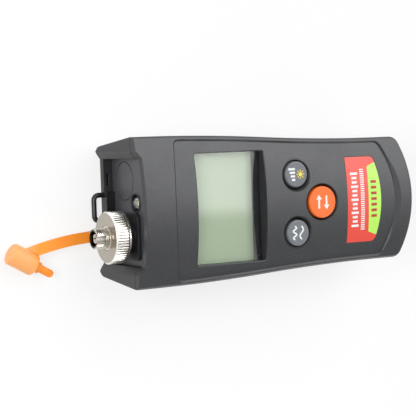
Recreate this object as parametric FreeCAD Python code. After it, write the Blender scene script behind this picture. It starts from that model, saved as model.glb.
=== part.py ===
import FreeCAD
import Part
import math
import os

V = FreeCAD.Vector

# Handheld optical power meter, lying on its back.
# Frame: millimetres, origin at the centre of the flat back, +Z out of the face,
# +Y towards the connector end, +X towards the meter's right-hand side.

# ---- Driving dimensions of the case ----
case_length = 127.0
case_width = 57.0
far_width = 49.5
face_top_z = 34.3
cover_depth = 6.8
crown_radius = 95.0
wall = 2.2
back_wall = 2.4
side_taper = 3.7
back_edge_radius = 4.5
front_edge_radius = 1.3
flare_near_margin = 6.0
flare_far_margin = 16.0
far_radius = 56.0
far_corner_radius = 4.2
parting_groove = 0.3

# ---- How far cuts run past what they open, and how far the parts of one solid sink together ----
over = 1.0
weld = 0.1
tiny = 0.01
BIG = 200.0

# ---- Connector end: two horns with a set-back centre, leaning back ----
end_lean = 0.07
horn_step = 2.15
horn_inner = 20.3
horn_slope = 2.9
panel_setback = 6.0
panel_thickness = 2.0
panel_tongue = 1.1
slide_in_gap = 0.1
web_thickness = 2.0

# ---- Face ----
face_recess = 0.8
face_margin = 1.9
face_near_margin = 17.4
face_near_radius = 215.0
face_far_margin = 8.6
face_far_radius = 41.0
face_corner = 3.4
face_near_corner = 1.8
face_bevel = 0.55
ramp_width = 2.6
ramp_foot = 0.1
ramp_lap = 0.3
ramp_sweep = 90.0
face_skin = 2.6
window_half_width = 21.3
window_near_margin = 26.9
window_length = 30.5
window_corner = 0.8

# ---- Display stack ----
lens_thickness = 0.8
lens_ledge = 1.1
lens_drop = 6.5
glass_thickness = 1.9
glass_gap = 0.3
glass_ledge = 0.9
frame_lip = 0.4
frame_wall = 0.6
frame_far_band = 3.1
frame_near_band = 0.9
window_bevel = 0.35
strip_width = 2.2
display_stack_gap = 0.1

# ---- Main board ----
board_drop = 10.7
board_thickness = 1.6
board_near_gap = 4.0
board_far_gap = 11.5
board_gap = 0.8

# ---- Keys ----
side_key_x = 11.5
side_key_setback = 13.9
middle_key_setback = 25.4
side_key_radius = 5.15
middle_key_radius = 6.3
key_dish_width = 1.05
key_dish_depth = 1.3
key_gap = 0.25
key_proud = 0.25
key_travel = 0.6
key_flange = 1.1
key_flange_thickness = 1.0
key_stop_gap = 0.3
key_collar = 1.2
key_edge = 0.6
plunger_radius = 1.7
plunger_gap = 0.1
plunger_engagement = 0.4
switch_size = 6.0
switch_height = 3.5

# ---- Face label ----
label_far_margin = 15.5
label_length = 16.5
label_half_width = 17.2
label_far_radius = 50.0
label_corner = 2.4
label_pocket = 0.3
label_thickness = 0.25

# ---- Detector port, all on one axis along Y ----
port_x = -9.16
port_z = 17.0
flange_side = 17.8
flange_thickness = 1.3
flange_corner = 2.0
flange_screw_offset = 6.4
flange_screw_radius = 0.9
flange_screw_head = 1.8
flange_screw_length = 5.0
flange_screw_slot = 0.45
neck_radius = 6.8
neck_reach = 7.9
neck_tail = 10.5
barrel_hole_gap = 0.2
light_path_radius = 1.5
detector_radius = 4.2
detector_length = 5.0
detector_seat_depth = 1.5
lead_radius = 0.25
detector_lead_circle = 1.27
detector_lead_length = 3.0
fit_gap = 0.05
nut_radius = 10.0
nut_stand_off = 4.33
nut_length = 6.17
nut_front_wall = 1.4
nut_flutes = 56
flute_land = 0.5
flute_depth = 0.4
nut_chamfer = 0.5
nut_groove = 0.6
nut_rim = 0.7
nut_rim_drop = 0.15
insert_flange_radius = 6.4
insert_flange_thickness = 1.1
collar_radius = 4.65
collar_clearance = 0.1
tube_radius = 4.0
tube_reach = 5.2
tube_edge = 0.3
tube_bore_radius = 2.9
tube_bore_depth = 5.6
keyway_width = 2.2
keyway_length = 3.6
sleeve_outer_radius = 1.7
sleeve_bore_radius = 1.25
sleeve_setback = 0.8
sleeve_slit = 0.3

# ---- Dust plug: one silicone moulding with ring, strap and plug ----
ring_outer_radius = 7.6
ring_thickness = 0.9
ring_gap = 0.1
ring_nut_gap = 0.23
strap_width = 4.3
strap_thickness = 0.9
strap_z = 4.0
strap_bend = 1.6
strap_curve_radius = 107.0
strap_reach = 35.0
plug_radius = 4.2
plug_floor_gap = 0.15
plug_length = 11.3
plug_edge = 1.1
plug_heading = 240.2
plug_side = 1.6
plug_ahead = 5.2
plug_collar_radius = 2.2
plug_collar_length = 1.9
pin_radius = 1.55
pin_length = 8.2

# ---- Torch lamp and the blank port beside it ----
lamp_x = 3.6
lamp_z = 22.7
lamp_radius = 2.5
lamp_hole_gap = 0.2
lamp_length = 6.0
lamp_reach = 0.8
lamp_flange_radius = 2.9
lamp_flange_thickness = 1.0
lamp_lead_length = 3.5
lamp_lead_spacing = 2.54
lamp_holder_wall = 1.0
bezel_radius = 3.35
bezel_lip = 0.3
bezel_rim = 0.5
bezel_depth = 1.5
blank_x = 11.8
blank_z = 13.3
blank_radius = 7.4
blank_groove = 0.35

# ---- Lanyard loop and the slot beside it ----
loop_x = 1.4
loop_z = 2.0
loop_bar_radius = 1.0
loop_leg_spacing = 10.0
loop_reach = 2.0
loop_bend = 2.0
loop_socket_depth = 3.0
loop_socket_gap = 0.02
loop_pad_margin = 0.2
loop_pad_height = 1.8
slot_x = 12.2
slot_length = 4.6
slot_width = 0.9
slot_setback = 1.2
slot_floor_z = 0.8

# ---- Batteries: two AAA cells side by side ----
cell_radius = 5.25
cell_length = 43.3
cell_nub_radius = 1.9
cell_nub_length = 1.2
cell_gap = 0.5
bay_far_margin = 12.0
bay_wall = 2.2
bay_end_wall = 1.5
bay_roof = 1.5
contact_room = 3.0
contact_thickness = 0.4
contact_width = 7.0
door_recess = 0.3
door_skin = 1.0
door_top_z = 2.2
door_tongue = 0.8
door_gap = 0.12
door_lap = 2.0
door_grip_margin = 29.5
door_grip_count = 5
door_grip_pitch = 1.8
door_grip_depth = 0.4
door_overlap = 0.9
door_cover = 1.5

# ---- Case screws ----
screw_near_x = 17.5
screw_near_margin = 21.0
screw_far_x = 17.0
screw_far_margin = 17.0
screw_head_radius = 2.1
screw_head_height = 1.6
screw_seat_z = 8.0
screw_radius = 1.1
screw_length = 11.0
screw_hole_gap = 0.25
boss_wall = 1.2
boss_top_z = 14.0
post_radius = 2.6
post_board_gap = 0.4
cross_slot = 0.6
cross_reach = 0.65

# ---- Values that follow from the ones above ----
near_y = case_length / 2
far_y = -case_length / 2
flare_start = near_y - flare_near_margin
flare_end = far_y + flare_far_margin
part_line_z = face_top_z - cover_depth
crown_centre_z = face_top_z - crown_radius
face_near_y = near_y - face_near_margin
face_far_y = far_y + face_far_margin
window_near_y = near_y - window_near_margin
window_far_y = window_near_y - window_length
side_key_y = window_far_y - side_key_setback
middle_key_y = window_far_y - middle_key_setback
label_far_y = far_y + label_far_margin
label_near_y = label_far_y + label_length
panel_front_y = near_y - panel_setback
panel_back_y = panel_front_y - panel_thickness
board_top_z = face_top_z - board_drop
collar_bottom_z = crown_centre_z + math.sqrt((crown_radius - face_skin) ** 2 - side_key_x ** 2) - key_collar
key_base_z = collar_bottom_z - key_stop_gap - key_flange_thickness
switch_top_z = board_top_z + switch_height
lens_top_z = face_top_z - lens_drop
lens_bottom_z = lens_top_z - lens_thickness
frame_top_z = lens_bottom_z - display_stack_gap
glass_top_z = frame_top_z - frame_lip
glass_bottom_z = glass_top_z - glass_thickness
flange_front_y = panel_front_y + flange_thickness
neck_front_y = panel_front_y + neck_reach
neck_rear_y = panel_front_y - neck_tail
detector_seat_y = panel_front_y - detector_seat_depth
nut_rear_y = panel_front_y + nut_stand_off
nut_front_y = nut_rear_y + nut_length
tube_front_y = nut_front_y + tube_reach
tube_bore_end_y = tube_front_y - tube_bore_depth
sleeve_front_y = tube_front_y - sleeve_setback
ring_front_y = nut_rear_y - ring_nut_gap
board_near_y = neck_rear_y - board_near_gap
board_far_y = far_y + board_far_gap
lamp_tip_y = panel_front_y + lamp_reach
loop_reach_y = near_y + loop_reach
cell_z = door_top_z + cell_gap + cell_radius
cell_x = cell_radius + cell_gap / 2
bay_half_width = 2 * cell_radius + cell_gap
bay_top_z = cell_z + cell_radius + cell_gap
bay_far_y = far_y + bay_far_margin
bay_near_y = bay_far_y + contact_room + cell_length + cell_nub_length
door_near_y = bay_near_y + door_lap
door_grip_y = far_y + door_grip_margin
cell_far_y = bay_far_y + contact_room / 2
door_half_width = bay_half_width + door_overlap
door_split_z = door_recess + door_skin
loop_legs = [loop_x - loop_leg_spacing / 2, loop_x + loop_leg_spacing / 2]
flange_screw_places = [(port_x + side * flange_screw_offset, port_z + side * flange_screw_offset)
                       for side in (-1, 1)]
case_screw_places = [(side * screw_near_x, near_y - screw_near_margin) for side in (-1, 1)]
case_screw_places += [(side * screw_far_x, far_y + screw_far_margin) for side in (-1, 1)]
key_places = {
    "unit_key": (side_key_x, side_key_y, side_key_radius),
    "wavelength_key": (-side_key_x, side_key_y, side_key_radius),
    "function_key": (0.0, middle_key_y, middle_key_radius),
}


# ---- Small helpers ----
def box(x0, x1, y0, y1, z0, z1):
    return Part.makeBox(x1 - x0, y1 - y0, z1 - z0, V(x0, y0, z0))


def post(x, y, radius, z0, z1):
    return Part.makeCylinder(radius, z1 - z0, V(x, y, z0), V(0, 0, 1))


def bar(x, z, radius, y0, y1):
    return Part.makeCylinder(radius, y1 - y0, V(x, y0, z), V(0, 1, 0))


def port(radius, y0, y1):
    return bar(port_x, port_z, radius, y0, y1)


def fused(shapes):
    return shapes[0].multiFuse(shapes[1:]).removeSplitter()


def write(shape, node):
    shape.exportStep("parts/" + node + ".step")


def crown(drop):
    """The space under the crowned face, moved down by drop; its seam is turned to the underside."""
    body = Part.makeCylinder(crown_radius - drop, BIG, V(0, -BIG / 2, crown_centre_z), V(0, 1, 0))
    body.rotate(V(0, 0, crown_centre_z), V(0, 1, 0), 180)
    return body


def crown_z(x, drop):
    return crown_centre_z + math.sqrt((crown_radius - drop) ** 2 - x * x)


def plan(inset, z, end_y, tip_y, tip_radius, corner):
    """Closed outline at height z: flared sides, rounded far end, square near end."""
    wide = case_width / 2 - inset
    narrow = far_width / 2 - inset
    middle_x = (wide + narrow) / 2
    middle_y = (flare_start + flare_end) / 2
    run = flare_start - flare_end
    drop = wide - narrow
    flare_radius = (run * run + drop * drop) / (4 * drop)
    bulge = flare_radius - math.sqrt(flare_radius ** 2 - (run / 4) ** 2)
    tip_centre = tip_y + tip_radius
    corner_x = narrow - corner
    corner_y = tip_centre - math.sqrt((tip_radius - corner) ** 2 - corner_x ** 2)
    reach = tip_radius / (tip_radius - corner)
    tip_x = corner_x * reach
    tip_edge_y = tip_centre + (corner_y - tip_centre) * reach
    half = math.atan2(tip_centre - corner_y, corner_x) / 2
    bend = (corner_x + corner * math.cos(half), corner_y - corner * math.sin(half))

    def at(x, y):
        return V(x, y, z)

    def side(s):
        return [
            Part.Arc(at(s * wide, flare_start), at(s * (wide - bulge), flare_start - run / 4),
                     at(s * middle_x, middle_y)).toShape(),
            Part.Arc(at(s * middle_x, middle_y), at(s * (narrow + bulge), flare_end + run / 4),
                     at(s * narrow, flare_end)).toShape(),
            Part.makeLine(at(s * narrow, flare_end), at(s * narrow, corner_y)),
            Part.Arc(at(s * narrow, corner_y), at(s * bend[0], bend[1]),
                     at(s * tip_x, tip_edge_y)).toShape(),
        ]

    edges = side(1)
    edges.append(Part.Arc(at(tip_x, tip_edge_y), at(0, tip_y), at(-tip_x, tip_edge_y)).toShape())
    edges += side(-1)
    edges.append(Part.makeLine(at(-wide, flare_start), at(-wide, end_y)))
    edges.append(Part.makeLine(at(-wide, end_y), at(wide, end_y)))
    edges.append(Part.makeLine(at(wide, end_y), at(wide, flare_start)))
    return Part.Wire(Part.__sortEdges__(edges))


def case_plan(inset, z):
    return plan(inset, z, near_y + over, far_y + inset, far_radius - inset, far_corner_radius)


def tapered(inset, z0, z1):
    """The rear case's sloping form between two heights, moved in by inset."""
    slope = side_taper / part_line_z
    wires = [case_plan(inset + slope * (part_line_z - z), z) for z in (z0, z1)]
    return Part.makeLoft(wires, True, True)


def upright(wire, height):
    return Part.Face(wire).extrude(V(0, 0, height))


def end_cutter():
    """Everything beyond the leaning connector end, with its set-back centre."""
    back_y = near_y - horn_step
    slope_x = horn_inner + horn_slope
    points = [(-BIG, near_y), (-slope_x, near_y), (-horn_inner, back_y), (horn_inner, back_y),
              (slope_x, near_y), (BIG, near_y), (BIG, BIG), (-BIG, BIG), (-BIG, near_y)]
    face = Part.Face(Part.makePolygon([V(x, y, 0) for x, y in points]))
    height = face_top_z + 2 * over
    face.translate(V(0, end_lean * over, -over))
    return face.extrude(V(0, -end_lean * height, height))


def panel_slot():
    side = horn_inner + panel_tongue + slide_in_gap
    low = back_wall - panel_tongue - slide_in_gap
    return box(-side, side, panel_back_y - slide_in_gap, panel_front_y + slide_in_gap, low, face_top_z)


def inside_limit():
    """The space behind the web that carries the end panel."""
    return box(-BIG, BIG, -BIG, panel_back_y - slide_in_gap - web_thickness, -BIG, BIG)


def groove_line():
    """A fine shadow groove round the joint between the two shells."""
    low = part_line_z - parting_groove / 2
    outer = upright(case_plan(-over, low), parting_groove)
    sides = outer.cut(upright(case_plan(parting_groove, low), parting_groove))
    end = end_cutter()
    end.translate(V(0, -parting_groove, 0))
    return sides.fuse(end.common(outer))


# ---- Case ----
def back_form():
    """The rear case's outer form before it is hollowed: sloping sides and a rounded back."""
    form = tapered(0.0, 0.0, part_line_z)
    rounded = [e for e in form.Edges if e.BoundBox.ZMax < tiny and e.BoundBox.YLength > tiny]
    return form.makeFillet(back_edge_radius, rounded)


def rear_case():
    outer = back_form()
    shell = outer.cut(tapered(wall, back_wall, part_line_z + over).common(inside_limit()))

    bay_side = bay_half_width + bay_wall
    bay_end_y = bay_near_y + bay_end_wall
    root_z = back_wall / 2
    bay_block = box(-bay_side, bay_side, bay_far_y - bay_end_wall, bay_end_y, root_z, bay_top_z + bay_roof)
    floor_block = box(-bay_side, bay_side, far_y, bay_end_y, root_z, door_top_z + door_gap + door_cover)
    boss_radius = screw_head_radius + screw_hole_gap + boss_wall
    bosses = [post(x, y, boss_radius, root_z, boss_top_z) for x, y in case_screw_places]
    shell = fused([shell] + [s.common(outer) for s in [bay_block, floor_block] + bosses])

    web_opening = box(-horn_inner + wall, horn_inner - wall, panel_back_y - 2 * web_thickness,
                      panel_back_y, back_wall + boss_wall, part_line_z + over)
    recess = box(-horn_inner, horn_inner, panel_front_y, BIG, back_wall, part_line_z + over)
    ledge_end_y = near_y - horn_step - end_lean * back_wall
    slot = box(slot_x - slot_length / 2, slot_x + slot_length / 2,
               ledge_end_y - slot_setback - slot_width, ledge_end_y - slot_setback,
               slot_floor_z, back_wall + over)
    cuts = [end_cutter(), web_opening, panel_slot(), recess, slot, groove_line()]
    cuts.append(box(-bay_half_width, bay_half_width, bay_far_y, bay_near_y, -over, bay_top_z))
    skin_side = door_half_width + door_gap
    groove_side = skin_side + door_tongue
    door_end_y = door_near_y + door_gap
    cuts.append(box(-skin_side, skin_side, -BIG, door_end_y, -over, door_split_z + door_gap))
    cuts.append(box(-groove_side, groove_side, -BIG, door_end_y, door_split_z, door_top_z + door_gap))
    for x, y in case_screw_places:
        cuts.append(post(x, y, screw_head_radius + screw_hole_gap, -over, screw_seat_z))
        cuts.append(post(x, y, screw_radius + screw_hole_gap, screw_seat_z - over, boss_top_z + over))
    for x in loop_legs:
        cuts.append(bar(x, loop_z, loop_bar_radius + loop_socket_gap,
                        ledge_end_y - loop_socket_depth, BIG))
    for tool in cuts:
        shell = shell.cut(tool)
    return shell.removeSplitter()


def upright_edges(shape, height):
    return [e for e in shape.Edges if e.BoundBox.ZLength > height - tiny]


def panel_outline(grow):
    """The recessed panel's outline as an upright block, moved out by grow."""
    height = face_top_z + over - part_line_z
    near_centre = V(0, face_near_y - face_near_radius, part_line_z)
    far_centre = V(0, face_far_y + face_far_radius, part_line_z)
    far = Part.makeCylinder(face_far_radius + grow, height, far_centre)
    far = far.fuse(box(-face_far_radius, face_far_radius, far_centre.y, BIG,
                       part_line_z, part_line_z + height))
    block = upright(case_plan(face_margin - grow, part_line_z), height).common(far)
    block = block.common(Part.makeCylinder(face_near_radius + grow, height, near_centre)).removeSplitter()
    near_edges = [e for e in upright_edges(block, height) if e.BoundBox.YMin > window_near_y]
    block = block.makeFillet(face_near_corner + grow, near_edges)
    far_edges = [e for e in upright_edges(block, height) if e.BoundBox.YMax < label_near_y]
    return block.makeFillet(face_corner + grow, far_edges)


def far_ramp():
    """A crescent slope from the recessed panel's far end up to the crown, which runs out at the corners."""
    side = far_width / 2 - face_margin - face_corner
    depth = face_recess - ramp_foot
    slope = depth / ramp_width
    rise = face_far_radius - math.sqrt(face_far_radius ** 2 - side ** 2)
    fall = crown_radius - math.sqrt(crown_radius ** 2 - side ** 2) - depth
    reach = math.hypot(rise, fall)
    radius = (side ** 2 + reach ** 2) / (2 * reach)
    foot_z = face_top_z - depth
    centre = V(0, face_far_y + radius * rise / reach, foot_z - radius * fall / reach)
    axis = V(0, fall / reach, rise / reach)
    start = face_far_y + ramp_lap
    end = face_far_y - 2 * ramp_width
    top = face_top_z + over
    points = [V(0, start, foot_z - slope * ramp_lap), V(0, end, foot_z + 2 * slope * ramp_width),
              V(0, end, top), V(0, start, top)]
    face = Part.Face(Part.makePolygon(points + points[:1]))
    face.rotate(centre, axis, -ramp_sweep / 2)
    return face.revolve(centre, axis, ramp_sweep)


def window_outline(grow):
    half = window_half_width + grow
    return rounded_block(-half, half, window_far_y - grow, window_near_y + grow,
                         part_line_z, face_top_z + over, window_corner + grow)


def rim_bevel(outline, drop, bevel):
    """The bevel round an opening in the surface that lies drop below the crown, run past both ends."""
    slab = outline(bevel + weld).common(crown(drop - over)).cut(crown(drop + bevel + weld))
    low_radius = crown_radius - drop - bevel - weld

    def is_low(edge):
        points = [edge.valueAt(edge.FirstParameter), edge.valueAt(edge.LastParameter)]
        return all(abs(math.hypot(p.x, p.z - crown_centre_z) - low_radius) < tiny for p in points)

    longest = max((e for e in slab.Edges if is_low(e)), key=lambda e: e.Length)
    return slab.makeChamfer(bevel + 2 * weld, [longest])


def label_prism(grow):
    half = label_half_width + grow
    height = face_top_z - part_line_z
    block = box(-half, half, label_far_y - over, label_near_y + grow, part_line_z, face_top_z)
    centre = V(0, label_far_y + label_far_radius, part_line_z)
    block = block.common(Part.makeCylinder(label_far_radius + grow, height, centre))
    far_edges = [e for e in upright_edges(block, height) if e.BoundBox.YMax < label_near_y]
    return block.makeFillet(label_corner, far_edges)


def rounded_block(x0, x1, y0, y1, z0, z1, corner):
    block = box(x0, x1, y0, y1, z0, z1)
    return block.makeFillet(corner, upright_edges(block, z1 - z0))


def front_case():
    height = face_top_z + over - part_line_z
    outer = upright(case_plan(0.0, part_line_z), height).common(crown(0.0))
    rim = [e for e in outer.Edges if e.BoundBox.ZMin > part_line_z + tiny and e.BoundBox.YLength > tiny
           and e.BoundBox.ZLength < e.BoundBox.YLength]
    outer = outer.makeFillet(front_edge_radius, rim)
    skin = crown(face_skin)
    hollow = upright(case_plan(wall, part_line_z - over), height).common(inside_limit()).common(skin)
    end_gap = box(-horn_inner, horn_inner, panel_back_y - 2 * web_thickness, BIG,
                  part_line_z - over, face_top_z).common(skin)
    shell = outer.cut(hollow).cut(end_gap).cut(panel_slot().common(skin))

    lens_side = window_half_width + lens_ledge
    lens_far_y = window_far_y - lens_ledge
    lens_near_y = window_near_y + lens_ledge
    frame = box(-lens_side - boss_wall, lens_side + boss_wall, lens_far_y - boss_wall,
                lens_near_y + boss_wall, lens_bottom_z, face_top_z)
    extras = [frame]
    for x, y, radius in key_places.values():
        extras.append(post(x, y, radius + key_gap + boss_wall, collar_bottom_z, face_top_z))
    inner = upright(case_plan(wall / 2, 0), face_top_z).common(crown(face_skin - weld))
    extras = [s.common(inner) for s in extras]
    extras += [post(x, y, post_radius, boss_top_z, face_top_z).common(inner) for x, y in case_screw_places]
    shell = fused([shell] + extras)

    cuts = [end_cutter(), groove_line(), panel_outline(0).cut(crown(face_recess))]
    cuts += [rim_bevel(panel_outline, 0, face_bevel), rim_bevel(window_outline, face_recess, window_bevel)]
    cuts.append(far_ramp())
    cuts.append(label_prism(slide_in_gap).cut(crown(face_recess + label_pocket)))
    cuts.append(window_outline(0))
    cuts.append(box(-lens_side, lens_side, lens_far_y, lens_near_y, lens_bottom_z - over, lens_top_z))
    for x, y, radius in key_places.values():
        bore = radius + key_gap
        top = crown_z(x, face_recess)
        cuts.append(post(x, y, bore, collar_bottom_z - over, face_top_z + over))
        depth = key_dish_depth + over
        mouth = bore + key_dish_width * depth / key_dish_depth
        cuts.append(Part.makeCone(bore, mouth, depth, V(x, y, top - key_dish_depth)))
    screw_end_z = screw_seat_z + screw_length
    for x, y in case_screw_places:
        cuts.append(post(x, y, screw_radius + fit_gap, boss_top_z - over, screw_end_z + over))
    for tool in cuts:
        shell = shell.cut(tool)
    return shell.removeSplitter()


def end_panel():
    side = horn_inner + panel_tongue
    plate = box(-side, side, panel_back_y, panel_front_y, back_wall - panel_tongue, face_top_z)
    plate = plate.common(crown(face_skin + slide_in_gap))
    rim_y = panel_front_y + bezel_rim
    plate = plate.fuse(bar(lamp_x, lamp_z, bezel_radius + bezel_lip, panel_front_y - weld, rim_y))
    hole = lamp_radius + lamp_hole_gap
    back_y = panel_back_y - over
    front_y = panel_front_y + over
    groove = bar(blank_x, blank_z, blank_radius + blank_groove / 2, panel_front_y - blank_groove, front_y)
    cup_back = V(lamp_x, rim_y - bezel_depth, lamp_z)
    cuts = [port(neck_radius + barrel_hole_gap, back_y, front_y),
            bar(lamp_x, lamp_z, hole, back_y, front_y),
            Part.makeCone(hole, bezel_radius, bezel_depth, cup_back, V(0, 1, 0)),
            groove.cut(bar(blank_x, blank_z, blank_radius - blank_groove / 2, 0, BIG))]
    cuts += [bar(x, z, flange_screw_radius + fit_gap, back_y, front_y) for x, z in flange_screw_places]
    for tool in cuts:
        plate = plate.cut(tool)
    return plate.removeSplitter()


# ---- Detector port ----
def detector_receptacle():
    half = flange_side / 2
    flange = box(port_x - half, port_x + half, panel_front_y, flange_front_y, port_z - half, port_z + half)
    corners = [e for e in flange.Edges if e.BoundBox.YLength > flange_thickness - tiny]
    body = fused([flange.makeFillet(flange_corner, corners), port(neck_radius, neck_rear_y, neck_front_y)])
    body = body.cut(port(light_path_radius, neck_rear_y - over, neck_front_y + over))
    body = body.cut(port(detector_radius + fit_gap, neck_rear_y - over, detector_seat_y))
    for x, z in flange_screw_places:
        body = body.cut(Part.makeCone(flange_screw_radius + fit_gap, flange_screw_head + fit_gap,
                                      flange_thickness, V(x, panel_front_y, z), V(0, 1, 0)))
    return body


def flange_screws():
    screws = []
    for x, z in flange_screw_places:
        head = Part.makeCone(flange_screw_radius, flange_screw_head, flange_thickness,
                             V(x, panel_front_y, z), V(0, 1, 0))
        shank = bar(x, z, flange_screw_radius, flange_front_y - flange_screw_length, panel_front_y + weld)
        screw = head.fuse(shank).removeSplitter()
        floor_y = flange_front_y - flange_screw_slot
        reach = flange_screw_head * cross_reach
        half = flange_screw_slot / 2
        screw = screw.cut(box(x - reach, x + reach, floor_y, BIG, z - half, z + half))
        screw = screw.cut(box(x - half, x + half, floor_y, BIG, z - reach, z + reach))
        screws.append(screw)
    return Part.makeCompound(screws)


def photodiode():
    base_y = detector_seat_y - detector_length
    pieces = [port(detector_radius, base_y, detector_seat_y)]
    for turn in range(3):
        angle = turn * math.pi / 2
        x = port_x + detector_lead_circle * math.cos(angle)
        z = port_z + detector_lead_circle * math.sin(angle)
        pieces.append(bar(x, z, lead_radius, base_y - detector_lead_length, base_y + weld))
    return fused(pieces)


def adapter_insert():
    seat = neck_front_y + fit_gap
    shoulder = seat + insert_flange_thickness
    body = fused([port(insert_flange_radius, seat, shoulder),
                  port(collar_radius, seat, nut_front_y - collar_clearance),
                  port(tube_radius, seat, tube_front_y)])
    mouth = [e for e in body.Edges if e.BoundBox.YMin > tube_front_y - tiny]
    body = body.makeChamfer(tube_edge, mouth)
    body = body.cut(port(tube_bore_radius, tube_bore_end_y, tube_front_y + over))
    body = body.cut(port(sleeve_outer_radius, seat - over, tube_bore_end_y + over))
    half = keyway_width / 2
    keyway = box(port_x - half, port_x + half, tube_front_y - keyway_length, tube_front_y + over,
                 port_z, port_z + tube_radius + over)
    return body.cut(keyway)


def ferrule_sleeve():
    tube = port(sleeve_outer_radius, neck_front_y + fit_gap, sleeve_front_y)
    tube = tube.cut(port(sleeve_bore_radius, 0, BIG))
    slit = box(port_x - sleeve_slit / 2, port_x + sleeve_slit / 2, 0, BIG, 0, port_z)
    return tube.cut(slit)


def coupling_nut():
    points = []
    pitch = 2 * math.pi / nut_flutes
    valley = nut_radius - flute_depth
    for flute in range(nut_flutes):
        for share, radius in ((0, nut_radius), (flute_land, nut_radius), ((1 + flute_land) / 2, valley)):
            angle = (flute + share) * pitch
            x = port_x + radius * math.cos(angle)
            points.append(V(x, nut_rear_y, port_z + radius * math.sin(angle)))
    points.append(points[0])
    grip_rear = nut_rear_y + nut_rim + nut_groove
    grip = Part.Face(Part.makePolygon(points)).extrude(V(0, nut_front_y - nut_rear_y, 0))
    chamfer_y = nut_front_y - nut_chamfer
    chamfer_back = V(port_x, chamfer_y, port_z)
    envelope = fused([
        port(valley - nut_groove, nut_rear_y, nut_front_y),
        port(nut_radius, grip_rear, chamfer_y),
        Part.makeCone(nut_radius, nut_radius - nut_chamfer, nut_chamfer, chamfer_back, V(0, 1, 0)),
    ])
    rim = port(nut_radius - nut_rim_drop, nut_rear_y, nut_rear_y + nut_rim)
    nut = grip.common(envelope).fuse(rim)
    nut = nut.cut(port(neck_radius + fit_gap, nut_rear_y - over, nut_front_y - nut_front_wall))
    return nut.cut(port(collar_radius + collar_clearance, nut_rear_y, nut_front_y + over))


def dust_plug():
    ring_back_y = ring_front_y - ring_thickness
    middle_y = (ring_back_y + ring_front_y) / 2
    half = strap_width / 2
    ring = port(ring_outer_radius, ring_back_y, ring_front_y)
    bend_z = strap_z + strap_bend
    drop = box(port_x - half, port_x + half, ring_back_y, ring_front_y, bend_z, port_z - neck_radius)
    bend_y = middle_y + strap_bend
    outer = strap_bend + strap_thickness / 2
    inner = strap_bend - strap_thickness / 2

    def elbow(radius):
        disc = Part.makeCylinder(radius, strap_width, V(port_x - half, bend_y, bend_z), V(1, 0, 0))
        return disc.common(box(-BIG, BIG, -BIG, bend_y, -BIG, bend_z))

    corner = elbow(outer).cut(elbow(inner))
    centre_x = port_x - strap_curve_radius
    strap_end_y = ring_front_y + strap_reach
    strap_end_x = centre_x + math.sqrt(strap_curve_radius ** 2 - (strap_end_y - bend_y) ** 2)
    low = strap_z - strap_thickness / 2
    band = Part.makeCylinder(strap_curve_radius + half, strap_thickness, V(centre_x, bend_y, low))
    band = band.cut(Part.makeCylinder(strap_curve_radius - half, strap_thickness, V(centre_x, bend_y, low)))
    band = band.common(box(centre_x, BIG, bend_y, strap_end_y, -BIG, BIG))
    heading = V(math.cos(math.radians(plug_heading)), math.sin(math.radians(plug_heading)), 0)
    back = V(strap_end_x + plug_side, strap_end_y + plug_ahead, plug_radius + plug_floor_gap)
    cap = Part.makeCylinder(plug_radius, plug_length, back, heading)
    cap = cap.makeFillet(plug_edge, [e for e in cap.Edges if len(e.Vertexes) == 1])
    nose = back + heading * plug_length
    collar_back = nose - heading * weld
    collar = Part.makeCylinder(plug_collar_radius, plug_collar_length + weld, collar_back, heading)
    pin = Part.makeCylinder(pin_radius, pin_length - pin_radius, nose, heading)
    tip = Part.makeSphere(pin_radius, nose + heading * (pin_length - pin_radius))
    plug = fused([ring, drop, corner, band, cap, collar, pin, tip])
    return plug.cut(port(neck_radius + ring_gap, ring_back_y - over, ring_front_y + over))


# ---- Torch lamp, lanyard loop ----
def lamp_led():
    dome_y = lamp_tip_y - lamp_radius
    base_y = lamp_tip_y - lamp_length
    pieces = [bar(lamp_x, lamp_z, lamp_radius, base_y, dome_y),
              Part.makeSphere(lamp_radius, V(lamp_x, dome_y, lamp_z)),
              bar(lamp_x, lamp_z, lamp_flange_radius, base_y, base_y + lamp_flange_thickness)]
    for side in (-1, 1):
        x = lamp_x + side * lamp_lead_spacing / 2
        pieces.append(bar(x, lamp_z, lead_radius, base_y - lamp_lead_length, base_y + weld))
    return fused(pieces)


def lamp_holder():
    rear = lamp_tip_y - lamp_length
    seat_y = rear + lamp_flange_thickness
    ring = bar(lamp_x, lamp_z, lamp_flange_radius + lamp_holder_wall, rear, panel_back_y)
    ring = ring.cut(bar(lamp_x, lamp_z, lamp_flange_radius + fit_gap, rear - over, seat_y))
    return ring.cut(bar(lamp_x, lamp_z, lamp_radius + fit_gap, rear, panel_back_y + over))


def lanyard_loop():
    start_y = near_y - horn_step - end_lean * back_wall - loop_socket_depth + fit_gap
    straight_y = loop_reach_y - loop_bend
    left, right = loop_legs
    turn = loop_bend * (1 - math.sqrt(0.5))

    def at(x, y):
        return V(x, y, loop_z)

    path = Part.Wire([
        Part.makeLine(at(left, start_y), at(left, straight_y)),
        Part.Arc(at(left, straight_y), at(left + turn, loop_reach_y - turn),
                 at(left + loop_bend, loop_reach_y)).toShape(),
        Part.makeLine(at(left + loop_bend, loop_reach_y), at(right - loop_bend, loop_reach_y)),
        Part.Arc(at(right - loop_bend, loop_reach_y), at(right - turn, loop_reach_y - turn),
                 at(right, straight_y)).toShape(),
        Part.makeLine(at(right, straight_y), at(right, start_y)),
    ])
    section = Part.Wire(Part.makeCircle(loop_bar_radius, at(left, start_y), V(0, 1, 0)))
    loop = path.makePipeShell([section], True, True)
    margin = loop_bar_radius + loop_pad_margin
    pad = box(left - margin, right + margin, panel_front_y + slide_in_gap, near_y,
              back_wall, back_wall + loop_pad_height)
    return loop.fuse(pad.cut(end_cutter())).removeSplitter()


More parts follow.
